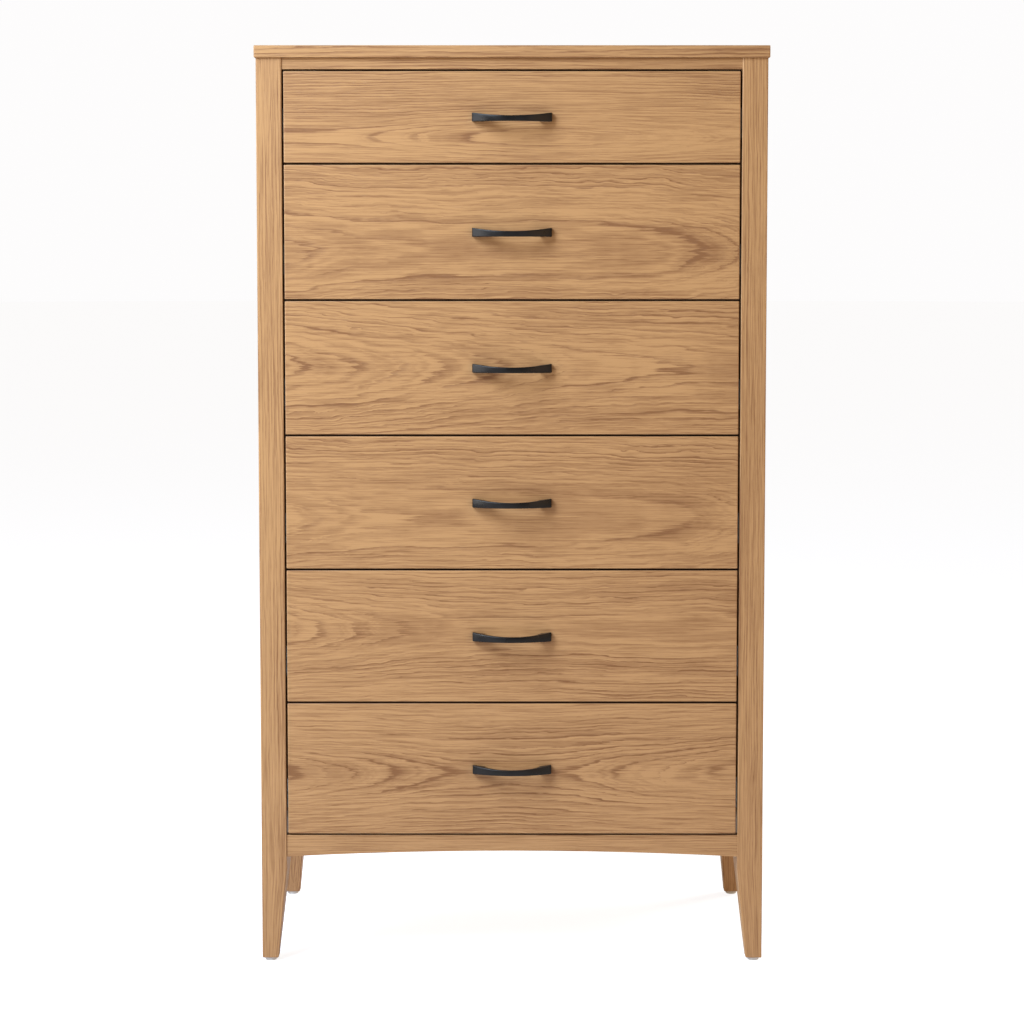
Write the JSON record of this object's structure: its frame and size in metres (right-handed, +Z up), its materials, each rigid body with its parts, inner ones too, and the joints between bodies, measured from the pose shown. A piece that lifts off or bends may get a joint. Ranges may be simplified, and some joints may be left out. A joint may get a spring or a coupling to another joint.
{
  "type": "tall chest of drawers",
  "caption": "Tall narrow oak chest of drawers on tapered legs, with flush drawer fronts, black bow handles and full-extension slides.",
  "frame": {"origin": "on the floor, under the middle of the overall box (handles included)", "axes": "+Z up, +X to the right seen from the front, drawers open towards -Y"},
  "size_m": [0.762, 0.481, 1.376],
  "materials": {
    "oak": "natural oak under a satin lacquer",
    "drawer_wood": "pale solid wood, sanded and sealed",
    "plywood": "oak-faced plywood, sealed",
    "black_metal": "satin black",
    "slide_steel": "zinc-plated rolled steel",
    "screw_steel": "zinc-plated",
    "nylon": "pale grey nylon"
  },
  "bodies": {
    "cabinet": {"top_panel": "oak", "post_front_left": "oak", "post_front_right": "oak", "post_rear_left": "oak", "post_rear_right": "oak", "side_panel_left": "oak", "side_panel_right": "oak", "back_panel": "plywood", "top_rail": "oak", "bottom_rail": "oak", "rear_rails": "oak", "drawer_dividers": "oak", "slide_battens": "drawer_wood", "slide_outer_members": "slide_steel", "foot_glides": "nylon", "back_panel_screws": "screw_steel", "corner_blocks": "drawer_wood", "top_panel_screws": "screw_steel"},
    "drawer_1": {"drawer_1_front": "oak", "drawer_1_box": "drawer_wood", "drawer_1_bottom": "plywood", "drawer_1_handle": "black_metal", "drawer_1_screws": "screw_steel", "drawer_1_slide_inner": "slide_steel"},
    "slide_1_middle": {"slide_1_middle": "slide_steel"},
    "drawer_2": {"drawer_2_front": "oak", "drawer_2_box": "drawer_wood", "drawer_2_bottom": "plywood", "drawer_2_handle": "black_metal", "drawer_2_screws": "screw_steel", "drawer_2_slide_inner": "slide_steel"},
    "slide_2_middle": {"slide_2_middle": "slide_steel"},
    "drawer_3": {"drawer_3_front": "oak", "drawer_3_box": "drawer_wood", "drawer_3_bottom": "plywood", "drawer_3_handle": "black_metal", "drawer_3_screws": "screw_steel", "drawer_3_slide_inner": "slide_steel"},
    "slide_3_middle": {"slide_3_middle": "slide_steel"},
    "drawer_4": {"drawer_4_front": "oak", "drawer_4_box": "drawer_wood", "drawer_4_bottom": "plywood", "drawer_4_handle": "black_metal", "drawer_4_screws": "screw_steel", "drawer_4_slide_inner": "slide_steel"},
    "slide_4_middle": {"slide_4_middle": "slide_steel"},
    "drawer_5": {"drawer_5_front": "oak", "drawer_5_box": "drawer_wood", "drawer_5_bottom": "plywood", "drawer_5_handle": "black_metal", "drawer_5_screws": "screw_steel", "drawer_5_slide_inner": "slide_steel"},
    "slide_5_middle": {"slide_5_middle": "slide_steel"},
    "drawer_6": {"drawer_6_front": "oak", "drawer_6_box": "drawer_wood", "drawer_6_bottom": "plywood", "drawer_6_handle": "black_metal", "drawer_6_screws": "screw_steel", "drawer_6_slide_inner": "slide_steel"},
    "slide_6_middle": {"slide_6_middle": "slide_steel"}
  },
  "joints": [
    {"name": "drawer_1_slide", "type": "slide", "parent": "cabinet", "child": "drawer_1", "axis": [0, -1, 0], "range_m": [0, 0.4]},
    {"name": "slide_1_middle_slide", "type": "slide", "parent": "cabinet", "child": "slide_1_middle", "axis": [0, -1, 0], "range_m": [0, 0.2]},
    {"name": "drawer_2_slide", "type": "slide", "parent": "cabinet", "child": "drawer_2", "axis": [0, -1, 0], "range_m": [0, 0.4]},
    {"name": "slide_2_middle_slide", "type": "slide", "parent": "cabinet", "child": "slide_2_middle", "axis": [0, -1, 0], "range_m": [0, 0.2]},
    {"name": "drawer_3_slide", "type": "slide", "parent": "cabinet", "child": "drawer_3", "axis": [0, -1, 0], "range_m": [0, 0.4]},
    {"name": "slide_3_middle_slide", "type": "slide", "parent": "cabinet", "child": "slide_3_middle", "axis": [0, -1, 0], "range_m": [0, 0.2]},
    {"name": "drawer_4_slide", "type": "slide", "parent": "cabinet", "child": "drawer_4", "axis": [0, -1, 0], "range_m": [0, 0.4]},
    {"name": "slide_4_middle_slide", "type": "slide", "parent": "cabinet", "child": "slide_4_middle", "axis": [0, -1, 0], "range_m": [0, 0.2]},
    {"name": "drawer_5_slide", "type": "slide", "parent": "cabinet", "child": "drawer_5", "axis": [0, -1, 0], "range_m": [0, 0.4]},
    {"name": "slide_5_middle_slide", "type": "slide", "parent": "cabinet", "child": "slide_5_middle", "axis": [0, -1, 0], "range_m": [0, 0.2]},
    {"name": "drawer_6_slide", "type": "slide", "parent": "cabinet", "child": "drawer_6", "axis": [0, -1, 0], "range_m": [0, 0.4]},
    {"name": "slide_6_middle_slide", "type": "slide", "parent": "cabinet", "child": "slide_6_middle", "axis": [0, -1, 0], "range_m": [0, 0.2]}
  ],
  "couplings": [
    {"joint": "slide_1_middle_slide", "follows": "drawer_1_slide", "ratio": 0.5},
    {"joint": "slide_2_middle_slide", "follows": "drawer_2_slide", "ratio": 0.5},
    {"joint": "slide_3_middle_slide", "follows": "drawer_3_slide", "ratio": 0.5},
    {"joint": "slide_4_middle_slide", "follows": "drawer_4_slide", "ratio": 0.5},
    {"joint": "slide_5_middle_slide", "follows": "drawer_5_slide", "ratio": 0.5},
    {"joint": "slide_6_middle_slide", "follows": "drawer_6_slide", "ratio": 0.5}
  ]
}
